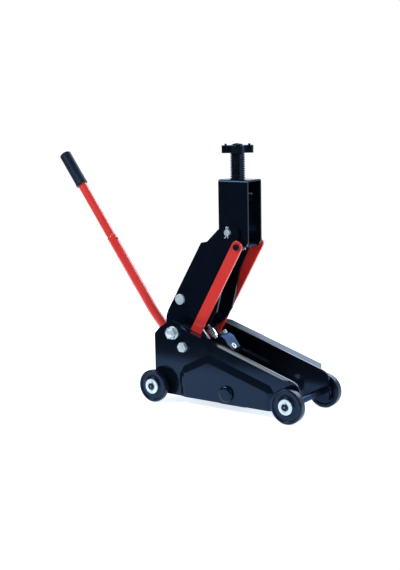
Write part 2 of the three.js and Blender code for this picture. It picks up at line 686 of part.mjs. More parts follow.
// ---- Power unit: built upright with its trunnions at the origin, then tilted --------------------
function powerUnit() {
  const unit = new THREE.Group();
  unit.position.set(TRUNNION.x, 0, TRUNNION.z);
  unit.rotation.y = Math.PI / 2 - ramUp.direction;
  jack.add(unit);
  const bore = RAM_R + RUN;

  const tube = solid(barZ(TUBE_R, 0, 0, TUBE_FOOT, BLOCK_LOW - GAP, 32));
  piece(unit, "cylinder_tube", tube.subtract(solid(barZ(bore, 0, 0, BORE_FOOT, 200, 24))), BLACK);

  // Valve block round the top of the cylinder; it reaches forward, away from the handle.
  const outline = rounded([
    [-TUBE_R - 1.5, BLOCK_LOW, 2],
    [BLOCK_FRONT - 8, BLOCK_LOW, 5],
    [BLOCK_FRONT, BLOCK_LOW + 8, 5],
    [BLOCK_FRONT, BLOCK_HIGH - 12, 5],
    [BLOCK_FRONT - 6, BLOCK_HIGH, 4],
    [-TUBE_R - 1.5, BLOCK_HIGH, 2],
  ]);
  let block = solid(slab(outline, -BASE_HALF, BASE_HALF, 4));
  block = block.subtract(solid(barZ(bore, 0, 0, 0, 200, 24)));
  const ports = [
    { name: "relief_valve_cap", n: RAM_R + 13.5, y: 7, r: 9, tall: 9, stem: 5, sides: 24, material: CAST },
    { name: "bleed_screw", n: RAM_R + 4.5, y: -RAM_R - 2.5, r: 4, tall: 11, stem: 2.6, sides: 6, material: ZINC },
  ];
  for (const port of ports) {
    const hole = barZ(port.stem + GAP, port.n, port.y, BLOCK_HIGH - 10, BLOCK_HIGH + 1, 12);
    block = block.subtract(solid(hole));
    const foot = BLOCK_HIGH + GAP;
    const cap = solid(barZ(port.r, port.n, port.y, foot, foot + port.tall, port.sides));
    const stem = solid(barZ(port.stem, port.n, port.y, BLOCK_HIGH - 9, foot + 1, 12));
    piece(unit, port.name, cap.add(stem), port.material);
  }
  const plugZ = BLOCK_LOW + 13;
  const plugY = -11;
  block = block.subtract(solid(barX(5 + GAP, plugY, plugZ, BLOCK_FRONT - 10, BLOCK_FRONT + 1, 16)));
  piece(unit, "valve_block", block, DARK);
  const plugEnd = BLOCK_FRONT + 8;
  const plugFlange = solid(barX(7.2, plugY, plugZ, BLOCK_FRONT + GAP, plugEnd, 24));
  const plugStem = solid(barX(5, plugY, plugZ, BLOCK_FRONT - 9, BLOCK_FRONT + 1, 16));
  const key = solid(barX(3.2, plugY, plugZ, plugEnd - 6, plugEnd + 1, 6));
  piece(unit, "port_plug", plugFlange.add(plugStem).subtract(key), CAST);

  const gland = solid(barZ(RAM_R + 4.5, 0, 0, BLOCK_HIGH + GAP, BLOCK_HIGH + GLAND_T, 8));
  piece(unit, "gland_nut", gland.subtract(solid(barZ(bore, 0, 0, 0, 200, 24))), DARK);

  // Ram with a slotted crosshead. The ram pin drifts along the slot as the arm turns.
  const foot = ramUp.length;
  const headHigh = 13;
  const ramFoot = BORE_FOOT + RAM_REST + ramUp.length - ramDown.length;
  const rod = solid(barZ(RAM_R, 0, 0, ramFoot, foot - 12, 28));
  piece(unit, "ram", rod, CHROME);
  const drift = crossheadDrift();
  const slotR = RAM_PIN_R + 1.2;
  const far = Math.max(...drift.map((d) => d.n));
  const yoke = rounded([
    [-17, foot - 12 + GAP, 3],
    [far + 17, foot - 12 + GAP, 3],
    [far + 17, foot + headHigh + 4, 6],
    [-17, foot + headHigh + 4, 6],
  ]);
  let crosshead = solid(slab(yoke, -19, 19, 4));
  for (const { n, up } of drift) {
    crosshead = crosshead.subtract(solid(barY(slotR, n, foot + up, -20, 20, 20)));
  }
  piece(unit, "ram_crosshead", crosshead, DARK);

  // Return springs beside the cylinder, up to the ram pin: plain bars of their outside size.
  for (const { name, s } of SIDES) {
    const y = s * SPRING_Y;
    const high = foot - RAM_PIN_R - 1;
    piece(unit, "return_spring_" + name, barZ(SPRING_R, 0, y, ANCHOR + GAP, high, 12), DARK);
  }
}

// How far the ram pin strays from the crosshead's own place, square to the ram and along it,
// when the tilt and the stroke both follow the arm's angle in proportion.
function crossheadDrift() {
  const steps = 10;
  const total = rad(ARM_SWING);
  const path = [];
  for (let i = 0; i <= steps; i++) {
    const share = i / steps;
    const real = ramLine(share * total);
    const tilt = ramUp.direction + share * (ramDown.direction - ramUp.direction);
    const stroke = ramUp.length + share * (ramDown.length - ramUp.length);
    const off = tilt - real.direction;
    path.push({ n: real.length * Math.sin(off), up: real.length * Math.cos(off) - stroke });
  }
  return path;
}

// Base casting of the power unit: trunnion barrel, cross beam, spine and pump barrel, level with the floor.
function unitBase() {
  const { x, z } = TRUNNION;
  const pumpZ = SOCKET.z - CRANK;
  const beam = rounded([
    [x - 34, 12, 9],
    [x + 48, 12, 9],
    [x + 48, 33, 6],
    [x + 20, 36, 4],
    [x - 34, 36, 6],
  ]);
  const spine = rounded([
    [x - 118, 16, 6],
    [x + 30, 16, 6],
    [x + 30, 46, 8],
    [x + 6, 62, 6],
    [x - 74, 62, 4],
    [x - 80, pumpZ + 13, 5],
    [x - 122, pumpZ + 13, 5],
    [x - 122, 30, 5],
  ]);
  let base = solid(slab(beam, -BEAM_HALF, BEAM_HALF, 5));
  base = base.add(solid(slab(spine, -BASE_HALF, BASE_HALF, 5)));
  base = base.add(solid(barY(BARREL_R, x, z, -BEAM_HALF, BEAM_HALF, 32)));
  base = base.add(solid(barX(13, 0, pumpZ, PUMP_REAR, x - 110, 28)));
  base = base.subtract(solid(barX(PLUNGER_R + GAP, 0, pumpZ, PUMP_REAR - 1, -238, 20)));
  // Seat of the cylinder tube and bore of the ram, square to the tilted axis.
  const tilt = Math.PI / 2 - ramUp.direction;
  const seat = barZ(TUBE_R + GAP, 0, 0, TUBE_FOOT - GAP, 200, 32).rotateY(tilt).translate(x, 0, z);
  base = base.subtract(solid(seat));
  for (const { s } of SIDES) {
    const pinHole = span(s, BEAM_HALF - TRUNNION_PIN - 2, BEAM_HALF + 1);
    base = base.subtract(solid(barY(TRUNNION_R + RUN, x, z, ...pinHole)));
    // Foot stud of the return spring, on top of the barrel.
    const stud = barZ(SPRING_R, 0, s * SPRING_Y, 6, ANCHOR, 12);
    base = base.add(solid(stud.rotateY(tilt).translate(x, 0, z)));
    // Ear of the handle socket.
    const ear = rounded([
      [x - 104, pumpZ - 12, 4],
      [x - 104, pumpZ + 12, 4],
      [SOCKET.x + EAR_R * 0.6, SOCKET.z + EAR_R, 6],
      [SOCKET.x - EAR_R, SOCKET.z + EAR_R, 9],
      [SOCKET.x - EAR_R, SOCKET.z - EAR_R * 0.6, 9],
      [PUMP_REAR - 4, pumpZ - 12, 8],
    ]);
    base = base.add(solid(slab(ear, ...span(s, EAR_IN, EAR_OUT), 4)));
    const joins = box(x - 122, x - 104, ...span(s, BASE_HALF - 1, EAR_IN + 1), pumpZ - 12, pumpZ + 10);
    base = base.add(solid(joins));
    const across = span(s, EAR_IN - 1, EAR_OUT + 1);
    base = base.subtract(solid(barY(SOCKET_SHAFT_R + GAP, SOCKET.x, SOCKET.z, ...across)));
  }
  // Release valve seat.
  const valve = { y: 12, z: 34 };
  base = base.subtract(solid(barX(5 + RUN, valve.y, valve.z, x - 130, x - 100, 16)));
  piece(jack, "power_unit_base", base, BLACK);
  piece(jack, "socket_shaft", barY(SOCKET_SHAFT_R, SOCKET.x, SOCKET.z, -EAR_OUT, EAR_OUT), ZINC);

  const rear = x - 122;
  const stem = solid(barX(5, valve.y, valve.z, rear - 30, rear + 18, 16));
  const knob = solid(barX(8, valve.y, valve.z, rear - 42, rear - 29, 20));
  const slot = solid(box(rear - 43, rear - 34, valve.y - 9, valve.y + 9, valve.z - 1.6, valve.z + 1.6));
  piece(jack, "release_valve", stem.add(knob).subtract(slot), ZINC);

  // Pump plunger with its cap, and the spring that pushes it out.
  const capRear = SOCKET.x + NOSE_PAD_R + GAP;
  const rod = solid(barX(PLUNGER_R, 0, pumpZ, capRear + 1, -268, 20));
  const cap = solid(barX(11, 0, pumpZ, capRear, capRear + 4, 24));
  piece(jack, "pump_plunger", rod.add(cap), CHROME);
  const coil = solid(barX(10, 0, pumpZ, capRear + 4 + GAP, PUMP_REAR - GAP, 20));
  const through = solid(barX(PLUNGER_R + GAP, 0, pumpZ, capRear, PUMP_REAR + 2, 20));
  piece(jack, "pump_spring", coil.subtract(through), ZINC);
}

// ---- Handle -------------------------------------------------------------------------------------
function handle() {
  const group = new THREE.Group();
  group.position.set(SOCKET.x, 0, SOCKET.z);
  jack.add(group);
  const along = (degrees) => new THREE.Vector3(Math.cos(rad(degrees)), 0, Math.sin(rad(degrees)));
  const low = along(SOCKET_ANGLE);
  const high = along(HANDLE_ANGLE);
  const corner = low.clone().multiplyScalar(BEND_AT);
  const onHandle = (distance) => corner.clone().addScaledVector(high, distance);
  // Straight bar between two points.
  const bar = (r, from, to, segments) => {
    const length = from.distanceTo(to);
    const turn = new THREE.Quaternion().setFromUnitVectors(
      new THREE.Vector3(0, 1, 0),
      to.clone().sub(from).normalize(),
    );
    const geometry = new THREE.CylinderGeometry(r, r, length, segments).applyQuaternion(turn);
    return geometry.translate(...from.clone().add(to).multiplyScalar(0.5).toArray());
  };

  // Socket: tube on a hub, with a crank that hangs down and pushes the pump plunger forward.
  const onSocket = (distance) => low.clone().multiplyScalar(distance);
  const socketR = LOWER_TUBE_R + GAP + SOCKET_WALL;
  let socket = solid(bar(socketR, onSocket(6), onSocket(SOCKET_LENGTH), 20));
  socket = socket.add(solid(barY(12, 0, 0, -EAR_IN + RUN, EAR_IN - RUN)));
  const crank = rounded([
    [-5, -CRANK, 3],
    [5, -CRANK, 3],
    [7, 0, 3],
    [-7, 0, 3],
  ]);
  socket = socket.add(solid(slab(crank, -6, 6, 3)));
  socket = socket.add(solid(barY(NOSE_PAD_R, 0, -CRANK, -6, 6, 24)));
  const mouth = bar(LOWER_TUBE_R + GAP, onSocket(HANDLE_FOOT - 1), onSocket(SOCKET_LENGTH + 5), 20);
  socket = socket.subtract(solid(mouth));
  socket = socket.subtract(solid(barY(SOCKET_SHAFT_R + RUN, 0, 0, -30, 30)));
  piece(group, "handle_socket", socket, BLACK);

  // Lower tube, with one bend above the socket.
  const outer = (r, from, to) => {
    const circle = new THREE.Shape();
    circle.absarc(0, 0, r, 0, 2 * Math.PI, false);
    const route = new THREE.CurvePath();
    const before = corner.clone().addScaledVector(low, -BEND_TANGENT);
    const after = onHandle(BEND_TANGENT);
    route.add(new THREE.LineCurve3(onSocket(from), before));
    route.add(new THREE.QuadraticBezierCurve3(before, corner, after));
    route.add(new THREE.LineCurve3(after, onHandle(to)));
    return new THREE.ExtrudeGeometry(circle, { steps: 18, curveSegments: 8, extrudePath: route });
  };
  let lower = solid(outer(LOWER_TUBE_R, HANDLE_FOOT, JOINT_AT));
  const neckR = LOWER_TUBE_R - HANDLE_WALL;
  lower = lower.subtract(solid(bar(neckR, onHandle(JOINT_AT - NECK - 15), onHandle(JOINT_AT + 10), 24)));
  const button = onHandle(JOINT_AT - BUTTON_DROP);
  const sideways = new THREE.Vector3(high.z, 0, -high.x);
  const tip = button.clone().addScaledVector(sideways, LOWER_TUBE_R + 1.4);
  const root = button.clone().addScaledVector(sideways, neckR - 4);
  const beyond = tip.clone().addScaledVector(sideways, 4);
  lower = lower.subtract(solid(bar(BUTTON_R + RUN, button, beyond, 16)));
  piece(group, "handle_lower_tube", lower, RED);

  // Upper tube: its necked end slides into the lower tube and is held by a snap button.
  let upper = solid(bar(UPPER_TUBE_R, onHandle(JOINT_AT + GAP), onHandle(HANDLE_TOP - 6), 20));
  upper = upper.add(solid(bar(neckR - GAP, onHandle(JOINT_AT - NECK), onHandle(JOINT_AT + 5), 20)));
  upper = upper.subtract(solid(bar(neckR - 2, onHandle(JOINT_AT - NECK - 5), onHandle(JOINT_AT + 30), 20)));
  upper = upper.subtract(solid(bar(BUTTON_R + RUN, button, beyond, 16)));
  piece(group, "handle_upper_tube", upper, RED);
  const knob = bar(BUTTON_R, root, tip, 14);
  piece(group, "snap_button", knob, DARK);

  // Rubber grip with a closed, rounded end.
  const profile = [
    [UPPER_TUBE_R + GAP, 0],
    [GRIP_R - 1, 0],
    [GRIP_R, 2],
    [GRIP_R, HANDLE_TOP - GRIP_FROM - 5],
    [GRIP_R - 2, HANDLE_TOP - GRIP_FROM - 1.5],
    [GRIP_R - 6, HANDLE_TOP - GRIP_FROM],
    [0, HANDLE_TOP - GRIP_FROM],
    [0, HANDLE_TOP - GRIP_FROM - 5],
    [UPPER_TUBE_R + GAP, HANDLE_TOP - GRIP_FROM - 5],
    [UPPER_TUBE_R + GAP, 0],
  ];
  const grip = turnedY(profile, 0, 0, 20);
  grip.applyQuaternion(new THREE.Quaternion().setFromUnitVectors(new THREE.Vector3(0, 1, 0), high));
  grip.translate(...onHandle(GRIP_FROM).toArray());
  piece(group, "handle_grip", grip, RUBBER);
}

frame();
pivots();
liftArm();
links();
head();
powerUnit();
unitBase();
handle();

// The origin goes to the middle of the box along X, on the floor.
const whole = new THREE.Box3().setFromObject(jack);
jack.position.x = -(whole.min.x + whole.max.x) / 2;
const group = new THREE.Group();
group.add(jack);

export default group;
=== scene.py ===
"""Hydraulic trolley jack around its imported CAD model: finished surfaces, materials, light and camera."""

import json
import math

import bmesh
import bpy
from mathutils import Matrix, Vector


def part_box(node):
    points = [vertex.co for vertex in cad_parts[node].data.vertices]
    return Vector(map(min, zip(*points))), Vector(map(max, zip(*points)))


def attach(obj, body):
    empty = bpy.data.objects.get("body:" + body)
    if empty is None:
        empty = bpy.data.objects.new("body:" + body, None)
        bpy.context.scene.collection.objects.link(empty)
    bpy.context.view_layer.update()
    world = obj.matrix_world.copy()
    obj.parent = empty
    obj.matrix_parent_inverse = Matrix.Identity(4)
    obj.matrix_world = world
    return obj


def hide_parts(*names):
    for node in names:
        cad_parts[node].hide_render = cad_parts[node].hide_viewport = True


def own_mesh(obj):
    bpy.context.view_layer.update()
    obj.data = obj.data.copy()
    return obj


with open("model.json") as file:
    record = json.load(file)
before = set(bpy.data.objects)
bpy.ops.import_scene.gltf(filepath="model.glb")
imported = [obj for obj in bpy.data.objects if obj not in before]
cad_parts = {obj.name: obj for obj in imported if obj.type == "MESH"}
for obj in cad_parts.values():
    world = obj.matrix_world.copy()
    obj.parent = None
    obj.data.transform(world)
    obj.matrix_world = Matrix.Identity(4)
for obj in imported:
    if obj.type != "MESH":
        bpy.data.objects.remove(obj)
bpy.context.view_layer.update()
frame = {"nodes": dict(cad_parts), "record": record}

# ---- Sizes that the CAD bodies don't show by themselves, in metres -------------------------------
MM = 0.001
PLATE_BEVEL = 0.9 * MM
CASTING_BEVEL = 1.32 * MM
VALVE_BLOCK_BEVEL = 1.1 * MM
SADDLE_BEVEL = 1.1 * MM
WELDED_BEVEL = 0.6 * MM
FINE_BEVEL = 0.35 * MM
PANEL_BLEND = 4 * MM  # rounding at the foot and the crest of the raised panel
WHEEL_BORE = 8.4 * MM
WHEEL_HUB_RADIUS = 18.5 * MM
WASHER_BORE = 8.3 * MM
PIVOT_NUT_FLATS = 25 * MM
PIVOT_NUT_BORE = 10.3 * MM
PIVOT_NUT_FLANGE_RADIUS = 15.5 * MM
PIVOT_NUT_FLANGE_HEIGHT = 3 * MM
PIVOT_SLEEVE_BORE = 10.4 * MM
LINK_WIDTH = 27.5 * MM
LINK_NUT_FLATS = 21 * MM
LINK_BOLT_RADIUS = 7 * MM
LINK_BOLT_BORE = 7.3 * MM  # in the link's nut and its spacer
TRUNNION_PIN_RADIUS = 9 * MM
TRUNNION_HEAD_HEIGHT = 7.5 * MM
RAM_PIN_RADIUS = 8 * MM
RAM_PIN_HEAD_RADIUS = 12.3 * MM
RAM_PIN_HEAD_HEIGHT = 5.5 * MM
ARM_TOP_PIN_RADIUS = 7 * MM
ARM_TOP_PIN_END = 2 * MM
LINK_PIN_RADIUS = 5.5 * MM
LINK_PIN_HEAD_RADIUS = 7.6 * MM
LINK_PIN_HEAD_HEIGHT = 3.5 * MM
SPLIT_PIN_WIRE = 1.0 * MM
ARM_SPLIT_PIN_WIRE = 1.25 * MM
THREAD_PITCH = 5 * MM
THREAD_DEPTH = 2.8 * MM
KEYWAY_WIDTH = 4.4 * MM
KEYWAY_DIRECTION = -54  # degrees from +X
BOSS_RADIUS = 11.5 * MM
SADDLE_GAP = 0.3 * MM
SPRING_WIRE = 0.8 * MM
PUMP_SPRING_WIRE = 1.1 * MM
CYLINDER_BORE = 12.9 * MM
LOWER_TUBE_RADIUS = 12.2 * MM
LOWER_TUBE_START = 17 * MM  # above the socket's pivot
UPPER_TUBE_RADIUS = 11 * MM
NECK_RADIUS = 10.3 * MM
NECK_INSERTION = 8 * MM
TUBE_GAP = 0.6 * MM
BEND_TANGENT = 20 * MM
BUTTON_RADIUS = 3 * MM
ORANGE_PEEL = 210.0  # noise scale of a painted skin, per metre

# ---- What the frame says -------------------------------------------------------------------------
record = frame["record"]
SLOT = {row["node"]: row["material_slot"] for row in record["subparts"]}
BODY = {node: body for body, nodes in record["behaviour"]["bodies"].items() for node in nodes}
JOINT = {joint["name"]: joint for joint in record["behaviour"]["joints"]}


def pivot(joint):
    return Vector(JOINT[joint]["pos_m"])


def axis_of(joint):
    return Vector(JOINT[joint]["axis"]).normalized()


def middle(node):
    low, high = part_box(node)
    return (Vector(low) + Vector(high)) / 2


def spread(node):
    low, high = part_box(node)
    return Vector(high) - Vector(low)


def side_of(node):
    """-1 for a node on the right of the jack, 1 for one on the left."""
    return -1 if middle(node).y < 0 else 1


ACROSS = Vector((0, 1, 0))
UP = Vector((0, 0, 1))
ARM_AXIS = (pivot("head_level") - pivot("lift")).normalized()
RAM_AXIS = axis_of("ram_slide")
SOCKET_AXIS = axis_of("handle_twist")
BUTTON_AXIS = axis_of("button_press")
HANDLE_AXIS = Vector((BUTTON_AXIS.z, 0, -BUTTON_AXIS.x))


# ---- Camera and light ----------------------------------------------------------------------------
CAMERA_AZIMUTH = math.radians(35.83)
CAMERA_ELEVATION = math.radians(9.46)
CAMERA_ROLL = math.radians(-1.02)
CAMERA_DISTANCE = 2.63319
CAMERA_LENS = 70.93
SENSOR_WIDTH = 36
TARGET_FROM_WHEEL = Vector((-0.28805, 0, 0.23163))


def add_camera():
    """The photograph's view, aimed at a point above and behind the right front wheel."""
    target = pivot("front_wheel_right_spin") + TARGET_FROM_WHEEL
    back = Vector(
        (
            math.sin(CAMERA_AZIMUTH) * math.cos(CAMERA_ELEVATION),
            -math.cos(CAMERA_AZIMUTH) * math.cos(CAMERA_ELEVATION),
            math.sin(CAMERA_ELEVATION),
        )
    )
    right = UP.cross(back).normalized()
    up = back.cross(right)
    tilted_right = math.cos(CAMERA_ROLL) * right + math.sin(CAMERA_ROLL) * up
    tilted_up = -math.sin(CAMERA_ROLL) * right + math.cos(CAMERA_ROLL) * up
    data = bpy.data.cameras.new("camera")
    data.lens = CAMERA_LENS
    data.sensor_width = SENSOR_WIDTH
    camera = bpy.data.objects.new("camera", data)
    turn = Matrix((tilted_right, tilted_up, back)).transposed().to_4x4()
    camera.matrix_world = Matrix.Translation(target + back * CAMERA_DISTANCE) @ turn
    bpy.context.scene.collection.objects.link(camera)
    bpy.context.scene.camera = camera


MIDDLE_OF_JACK = Vector((0.05, 0, 0.2))
ROOM_DARK = (0.06, 0.08, 0.11, 1)
ROOM_BRIGHT = (0.86, 0.94, 1.0, 1)
ROOM_STRENGTH = 1.1
BACKDROP_STRENGTH = 1.05
FLOOR_REACH = 1.15  # from the middle of the jack, on every side but the camera's
FLOOR_REACH_NEAR = 0.42
FLOOR_GLOW = (0.88, 0.94, 1.0, 1)
FLOOR_GLOW_STRENGTH = 0.8


def add_light(name, place, size, power, colour):
    """Rectangular lamp aimed at the middle of the jack."""
    data = bpy.data.lights.new(name, "AREA")
    data.shape = "RECTANGLE"
    data.size, data.size_y = size
    data.energy = power
    data.color = colour
    lamp = bpy.data.objects.new(name, data)
    aim = (MIDDLE_OF_JACK - Vector(place)).to_track_quat("-Z", "Y")
    lamp.matrix_world = Matrix.Translation(place) @ aim.to_matrix().to_4x4()
    bpy.context.scene.collection.objects.link(lamp)


def add_room():
    """White to the camera. To everything else it is bright behind the jack, and dark above it and on the
    camera's side, so that gloss black stays black."""
    world = bpy.data.worlds.new("room")
    world.use_nodes = True
    bpy.context.scene.world = world
    nodes, links = world.node_tree.nodes, world.node_tree.links
    coordinates = nodes.new("ShaderNodeTexCoord")
    split = nodes.new("ShaderNodeSeparateXYZ")
    links.new(coordinates.outputs["Generated"], split.inputs[0])

    def fade(axis, empty, full):
        """0 where the direction's component is at empty, 1 where it is at full."""
        step = nodes.new("ShaderNodeMapRange")
        step.interpolation_type = "SMOOTHSTEP"
        step.inputs["From Min"].default_value = empty
        step.inputs["From Max"].default_value = full
        links.new(split.outputs[axis], step.inputs["Value"])
        return step.outputs["Result"]

    share = nodes.new("ShaderNodeMath")
    share.operation = "MULTIPLY"
    links.new(fade("Y", -0.25, 0.3), share.inputs[0])
    links.new(fade("Z", 0.72, 0.3), share.inputs[1])
    ramp = nodes.new("ShaderNodeValToRGB")
    links.new(share.outputs[0], ramp.inputs[0])
    ramp.color_ramp.elements[0].color = ROOM_DARK
    ramp.color_ramp.elements[1].color = ROOM_BRIGHT
    room = nodes["Background"]
    room.inputs["Strength"].default_value = ROOM_STRENGTH
    links.new(ramp.outputs[0], room.inputs["Color"])
    backdrop = nodes.new("ShaderNodeBackground")
    backdrop.inputs["Color"].default_value = (1, 1, 1, 1)
    backdrop.inputs["Strength"].default_value = BACKDROP_STRENGTH
    path = nodes.new("ShaderNodeLightPath")
    mix = nodes.new("ShaderNodeMixShader")
    links.new(path.outputs["Is Camera Ray"], mix.inputs[0])
    links.new(room.outputs[0], mix.inputs[1])
    links.new(backdrop.outputs[0], mix.inputs[2])
    links.new(mix.outputs[0], nodes["World Output"].inputs["Surface"])


def add_floor():
    """Small white floor with a faint glow. The gloss black sees it only low down."""
    floor = bpy.data.meshes.new("floor")
    corners = [
        (-FLOOR_REACH, -FLOOR_REACH_NEAR, 0),
        (FLOOR_REACH, -FLOOR_REACH_NEAR, 0),
        (FLOOR_REACH, FLOOR_REACH, 0),
        (-FLOOR_REACH, FLOOR_REACH, 0),
    ]
    floor.from_pydata(corners, [], [(0, 1, 2, 3)])
    floor_object = bpy.data.objects.new("floor", floor)
    bpy.context.scene.collection.objects.link(floor_object)
    skin = bpy.data.materials.new("floor_white")
    skin.use_nodes = True
    shader = skin.node_tree.nodes["Principled BSDF"]
    shader.inputs["Base Color"].default_value = (0.93, 0.94, 0.96, 1)
    shader.inputs["Roughness"].default_value = 0.6
    shader.inputs["Emission Color"].default_value = FLOOR_GLOW
    shader.inputs["Emission Strength"].default_value = FLOOR_GLOW_STRENGTH
    floor.materials.append(skin)


def add_studio():
    bpy.context.scene.view_settings.view_transform = "Standard"
    add_room()
    add_floor()
    add_light("key", (-1.3, -1.6, 2.0), size=(1.4, 1.0), power=58, colour=(0.86, 0.94, 1))
    add_light("fill", (2.2, -0.6, 1.4), size=(1.0, 1.4), power=18, colour=(0.9, 0.95, 1))
    add_light("rim", (0.4, 2.0, 1.6), size=(2.0, 1.0), power=30, colour=(0.82, 0.91, 1))


# ---- Materials -----------------------------------------------------------------------------------
GRAIN_HEIGHT = 0.2 * MM


def material(name, dark, light, roughness, metallic=0.0, grain=None, blotch=6.0, **sockets):
    """Procedural finish: colour clouds between dark and light, at blotch per metre, and roughness that
    wanders between two values. A grain is a bump, given by its scale per metre and its strength."""
    skin = bpy.data.materials.new(name)
    skin.use_nodes = True
    nodes, links = skin.node_tree.nodes, skin.node_tree.links
    shader = nodes["Principled BSDF"]
    shader.inputs["Metallic"].default_value = metallic
    for key, value in sockets.items():
        shader.inputs[key.replace("_", " ")].default_value = value
    place = nodes.new("ShaderNodeTexCoord")

    def noise(scale, detail):
        node = nodes.new("ShaderNodeTexNoise")
        node.inputs["Scale"].default_value = scale
        node.inputs["Detail"].default_value = detail
        links.new(place.outputs["Object"], node.inputs["Vector"])
        return node.outputs["Fac"]

    clouds = nodes.new("ShaderNodeValToRGB")
    clouds.color_ramp.elements[0].position = 0.35
    clouds.color_ramp.elements[0].color = (*dark, 1)
    clouds.color_ramp.elements[1].position = 0.68
    clouds.color_ramp.elements[1].color = (*light, 1)
    links.new(noise(blotch, 4), clouds.inputs[0])
    links.new(clouds.outputs[0], shader.inputs["Base Color"])

    wander = nodes.new("ShaderNodeMapRange")
    wander.inputs["To Min"].default_value = roughness[0]
    wander.inputs["To Max"].default_value = roughness[1]
    links.new(noise(blotch * 4, 1), wander.inputs["Value"])
    links.new(wander.outputs[0], shader.inputs["Roughness"])

    if grain:
        scale, strength = grain
        bump = nodes.new("ShaderNodeBump")
        bump.inputs["Strength"].default_value = strength
        bump.inputs["Distance"].default_value = GRAIN_HEIGHT
        links.new(noise(scale, 3), bump.inputs["Height"])
        links.new(bump.outputs[0], shader.inputs["Normal"])
    return skin


def make_materials():
    """One finish for each material slot of the record."""
    cool = (0.22, 0.45, 0.9, 1)  # blue tint of what the black finishes reflect
    return {
        "black_paint": material(
            "black_paint",
            (0.002, 0.003, 0.0055),
            (0.004, 0.006, 0.011),
            (0.1, 0.2),
            grain=(ORANGE_PEEL, 0.09),
            Specular_Tint=cool,
        ),
        "red_paint": material(
            "red_paint",
            (0.88, 0.036, 0.026),
            (0.94, 0.052, 0.038),
            (0.3, 0.4),
            Coat_Weight=0.7,
            Coat_Roughness=0.12,
        ),
        "zinc": material(
            "zinc",
            (0.62, 0.72, 0.79),
            (0.82, 0.91, 0.96),
            (0.24, 0.4),
            metallic=0.4,
            grain=(900, 0.05),
            blotch=40.0,
        ),
        "chrome": material(
            "chrome",
            (0.7, 0.72, 0.75),
            (0.82, 0.84, 0.87),
            (0.03, 0.09),
            metallic=1.0,
            blotch=30.0,
        ),
        "grey_cast": material(
            "grey_cast",
            (0.26, 0.28, 0.31),
            (0.5, 0.53, 0.57),
            (0.3, 0.5),
            metallic=0.7,
            grain=(700, 0.35),
            blotch=35.0,
        ),
        "black_steel": material(
            "black_steel",
            (0.014, 0.018, 0.026),
            (0.036, 0.045, 0.06),
            (0.18, 0.34),
            metallic=0.8,
            grain=(800, 0.08),
            blotch=30.0,
            Specular_Tint=cool,
        ),
        "grip_rubber": material(
            "grip_rubber",
            (0.006, 0.008, 0.012),
            (0.014, 0.017, 0.024),
            (0.42, 0.6),
            grain=(1300, 0.3),
            blotch=20.0,
            Specular_Tint=cool,
        ),
        "wheel_black": material(
            "wheel_black",
            (0.003, 0.004, 0.007),
            (0.008, 0.01, 0.016),
            (0.14, 0.28),
            grain=(420, 0.14),
            blotch=14.0,
            Specular_Tint=cool,
        ),
    }


# ---- Mesh tools ----------------------------------------------------------------------------------
def axes_along(direction):
    """Two unit vectors square to a direction and to each other."""
    first = ACROSS.cross(direction)
    if first.length < 1e-6:
        first = UP.copy()
    first.normalize()
    return first, direction.cross(first).normalized()


def add_ring(mesh, centre, first, second, radii):
    """Ring of vertices round a centre, turned from first towards second, each at its own radius."""
    ring = []
    for step, radius in enumerate(radii):
        angle = 2 * math.pi * step / len(radii)
        spoke = first * math.cos(angle) + second * math.sin(angle)
        ring.append(mesh.verts.new(centre + spoke * radius))
    return ring


def skin_rings(mesh, rings, capped):
    """Walls from each ring to the next, and a flat face over the first and the last if they are capped."""
    for low, high in zip(rings, rings[1:]):
        for step in range(len(low)):
            after = (step + 1) % len(low)
            mesh.faces.new((low[step], low[after], high[after], high[step]))
    if capped:
        mesh.faces.new(list(reversed(rings[0])))
        mesh.faces.new(rings[-1])
    bmesh.ops.recalc_face_normals(mesh, faces=mesh.faces)


def grid_solid(origin, direction, levels, radius, count=72, bore=None):
    """Closed body round an axis: a ring of vertices at each level, at radius(index, level, angle) from the
    axis. With a bore it is a ring-shaped body, otherwise its ends are capped."""
    mesh = bmesh.new()
    first, second = axes_along(direction)
    angles = [2 * math.pi * step / count for step in range(count)]
    rings = []
    for index, level in enumerate(levels):
        radii = [radius(index, level, angle) for angle in angles]
        rings.append(add_ring(mesh, origin + direction * level, first, second, radii))
    if bore:
        for level in (levels[-1], levels[0]):
            rings.append(add_ring(mesh, origin + direction * level, first, second, [bore] * count))
        rings.append(rings[0])
    skin_rings(mesh, rings, capped=not bore)
    return mesh


def revolve(origin, direction, profile, count=72, closed=False):
    """Body of revolution from (radius, height) points. A closed profile makes a ring, an open one has flat
    ends."""
    mesh = bmesh.new()
    first, second = axes_along(direction)
    rings = []
    for radius, height in profile:
        rings.append(add_ring(mesh, origin + direction * height, first, second, [radius] * count))
    if closed:
        rings.append(rings[0])
    skin_rings(mesh, rings, capped=not closed)
    return mesh


def sweep(points, radius, sides=12):
    """Round bar along points, with a radius for each point or one for all."""
    mesh = bmesh.new()
    radii = radius if isinstance(radius, list) else [radius] * len(points)
    heading = (points[1] - points[0]).normalized()
    normal, _ = axes_along(heading)
    rings = []
    for index, point in enumerate(points):
        before = points[max(index - 1, 0)]
        after = points[min(index + 1, len(points) - 1)]
        new_heading = (after - before).normalized()
        normal = heading.rotation_difference(new_heading) @ normal
        heading = new_heading
        other = heading.cross(normal).normalized()
        rings.append(add_ring(mesh, point, normal, other, [radii[index]] * sides))
    skin_rings(mesh, rings, capped=True)
    return mesh


ROUNDED_FROM = math.radians(28)  # edges that turn by more than this are rounded
SLOPE_LOW = math.radians(14)
SLOPE_HIGH = math.radians(24)
SHORTEST_SLOPE = 5 * MM  # shorter edges keep their corner


